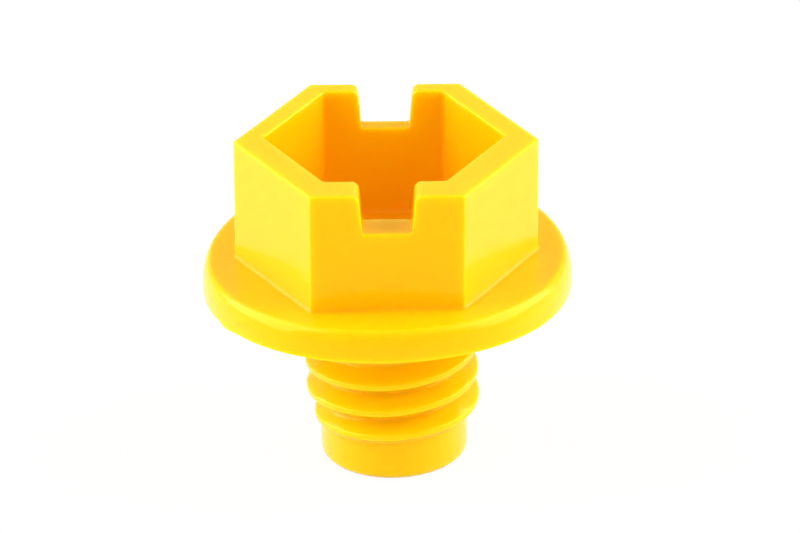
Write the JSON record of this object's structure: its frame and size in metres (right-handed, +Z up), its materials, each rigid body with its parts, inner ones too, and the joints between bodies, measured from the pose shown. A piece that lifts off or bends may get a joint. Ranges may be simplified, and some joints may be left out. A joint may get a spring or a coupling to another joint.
{
  "type": "screw plug",
  "caption": "Moulded plastic screw plug: hollow slotted hexagon head, round sealing flange, coarse right-hand thread and plain pilot tip.",
  "frame": {"origin": "centre of the sealing face under the flange, on the thread's axis", "axes": "+Z is up the thread's axis, out of the head; two corners of the hexagon lie on X, and the driver slot runs along Y"},
  "size_m": [0.02, 0.02, 0.0187],
  "materials": {
    "plug_plastic": "gloss"
  },
  "bodies": {
    "root": {"screw_plug": "plug_plastic"}
  },
  "joints": []
}
